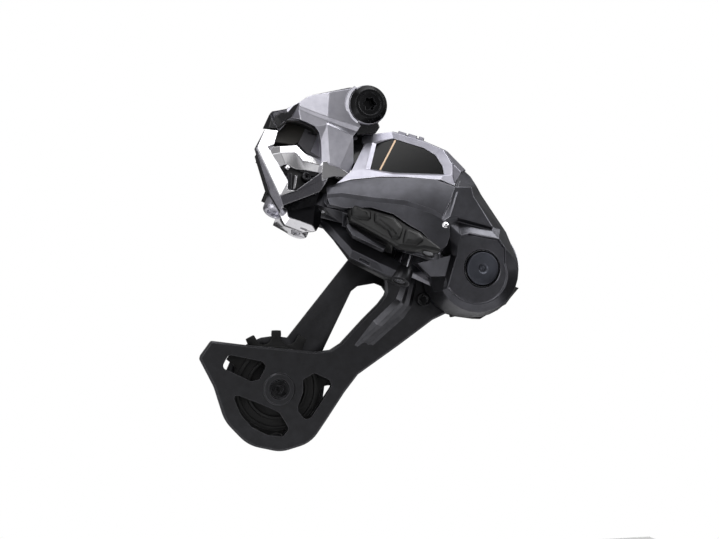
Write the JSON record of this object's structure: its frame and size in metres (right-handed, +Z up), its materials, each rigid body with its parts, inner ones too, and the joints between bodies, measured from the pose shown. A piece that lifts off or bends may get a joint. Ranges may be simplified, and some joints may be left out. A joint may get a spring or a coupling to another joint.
{
  "type": "rear derailleur",
  "caption": "Electronic rear derailleur: hanger bolt, servo bracket, slanted parallelogram with battery, pivot knuckle and long cage with toothed pulleys.",
  "frame": {"origin": "on the fixing bolt's axis at the hanger's outer face, which the stopper plate rests on", "axes": "+X forward along the bicycle, +Y inboard along the fixing bolt's thread, +Z up"},
  "size_m": [0.1687, 0.0606, 0.1809],
  "materials": {
    "black_anodised": "satin anodised",
    "forged_grey": "bead blasted and anodised",
    "polished": "polished",
    "dark_anodised": "satin anodised",
    "dark_gloss": "gloss moulded",
    "steel": "turned",
    "bronze": "sintered",
    "black_plastic": "moulded",
    "rubber": "matte moulded",
    "cell_grey": "moulded",
    "contact_gold": "plated",
    "lens": "clear moulded",
    "cap_grey": "satin anodised"
  },
  "bodies": {
    "hanger_mount": {"b_axle_bolt": "black_anodised", "stopper_plate": "black_anodised", "axle_snap_ring": "steel"},
    "b_knuckle": {"b_bush": "bronze", "bracket_body": "forged_grey", "bracket_frame": "polished", "bracket_corner": "dark_anodised", "servo_case": "dark_gloss", "servo_cover": "polished", "servo_motor": "steel", "gear_train": "contact_gold", "output_barrel": "forged_grey", "bracket_foot": "polished", "case_screws": "steel", "limit_screw": "black_anodised", "outer_pin_b": "steel", "inner_pin_b": "steel", "status_light": "lens"},
    "tension_screw": {"b_tension_screw": "black_anodised"},
    "button": {"function_button": "rubber"},
    "outer_link": {"outer_link_body": "dark_anodised", "outer_link_frame": "polished", "outer_link_plate": "dark_gloss", "outer_link_bushes": "bronze", "battery_contacts": "contact_gold", "battery": "cell_grey"},
    "battery_door": {"battery_cover": "rubber"},
    "latch": {"battery_latch": "cap_grey"},
    "inner_link": {"inner_link_plate": "dark_anodised", "inner_link_bushes": "bronze"},
    "p_knuckle": {"p_knuckle_body": "dark_anodised", "p_cap": "cap_grey", "p_cap_ring": "black_anodised", "outer_pin_p": "steel", "inner_pin_p": "steel", "cage_spring": "steel", "clutch_unit": "steel", "p_axle_bush": "bronze"},
    "cage": {"cage_outer_plate": "dark_anodised", "cage_inner_plate": "black_anodised", "chain_guard": "black_plastic", "p_axle": "steel", "cage_stop_pin": "black_anodised", "guide_bolt": "black_anodised", "tension_bolt": "black_anodised", "guide_inner_race": "steel", "tension_inner_race": "steel", "guide_balls": "steel", "tension_balls": "steel"},
    "guide_wheel": {"guide_pulley": "black_plastic", "guide_outer_race": "steel", "guide_shields": "black_plastic"},
    "tension_wheel": {"tension_pulley": "black_plastic", "tension_outer_race": "steel", "tension_shields": "black_plastic"}
  },
  "joints": [
    {"name": "bracket_swivel", "type": "hinge", "parent": "hanger_mount", "child": "b_knuckle", "pos_m": [0, 0, 0], "axis": [0, 1, 0], "range_deg": [0, 14]},
    {"name": "b_tension", "type": "slide", "parent": "b_knuckle", "child": "tension_screw", "axis": [1, 0, 0], "range_m": [-0.003, 0]},
    {"name": "mode_button", "type": "slide", "parent": "b_knuckle", "child": "button", "axis": [0.9171, 0, -0.3987], "range_m": [0, 0.0006], "stiffness_N_per_m": 400},
    {"name": "shift", "type": "hinge", "parent": "b_knuckle", "child": "outer_link", "pos_m": [-0.0138, -0.0022, -0.0312], "axis": [0.3747, 0.342, 0.8618], "range_deg": [0, 48]},
    {"name": "outer_knuckle_pivot", "type": "hinge", "parent": "outer_link", "child": "p_knuckle", "pos_m": [0.03798, -0.02052, -0.04644], "axis": [0.3747, 0.342, 0.8618], "range_deg": [-48, 0]},
    {"name": "inner_link_pivot", "type": "hinge", "parent": "b_knuckle", "child": "inner_link", "pos_m": [-0.02057, 0.01283, -0.03422], "axis": [0.3747, 0.342, 0.8618], "range_deg": [0, 48]},
    {"name": "battery_door_hinge", "type": "hinge", "parent": "outer_link", "child": "battery_door", "pos_m": [-0.00979, -0.02307, -0.04857], "axis": [0.9084, -0.3214, -0.2674], "range_deg": [-70, 0]},
    {"name": "battery_latch_slide", "type": "slide", "parent": "battery_door", "child": "latch", "axis": [0.9084, -0.3214, -0.2674], "range_m": [-0.0015, 0]},
    {"name": "cage_swing", "type": "hinge", "parent": "p_knuckle", "child": "cage", "pos_m": [0.05538, 0, -0.08064], "axis": [0, 1, 0], "range_deg": [-80, 0], "stiffness_Nm_per_rad": 0.25, "springref_deg": 57.3},
    {"name": "guide_spin", "type": "hinge", "parent": "cage", "child": "guide_wheel", "pos_m": [0.04638, 0.00975, -0.07644], "axis": [0, 1, 0], "continuous": true},
    {"name": "tension_spin", "type": "hinge", "parent": "cage", "child": "tension_wheel", "pos_m": [-0.0411, 0.00975, -0.14023], "axis": [0, 1, 0], "continuous": true}
  ],
  "couplings": [
    {"joint": "outer_knuckle_pivot", "follows": "shift", "ratio": -1},
    {"joint": "inner_link_pivot", "follows": "shift", "ratio": 1}
  ]
}
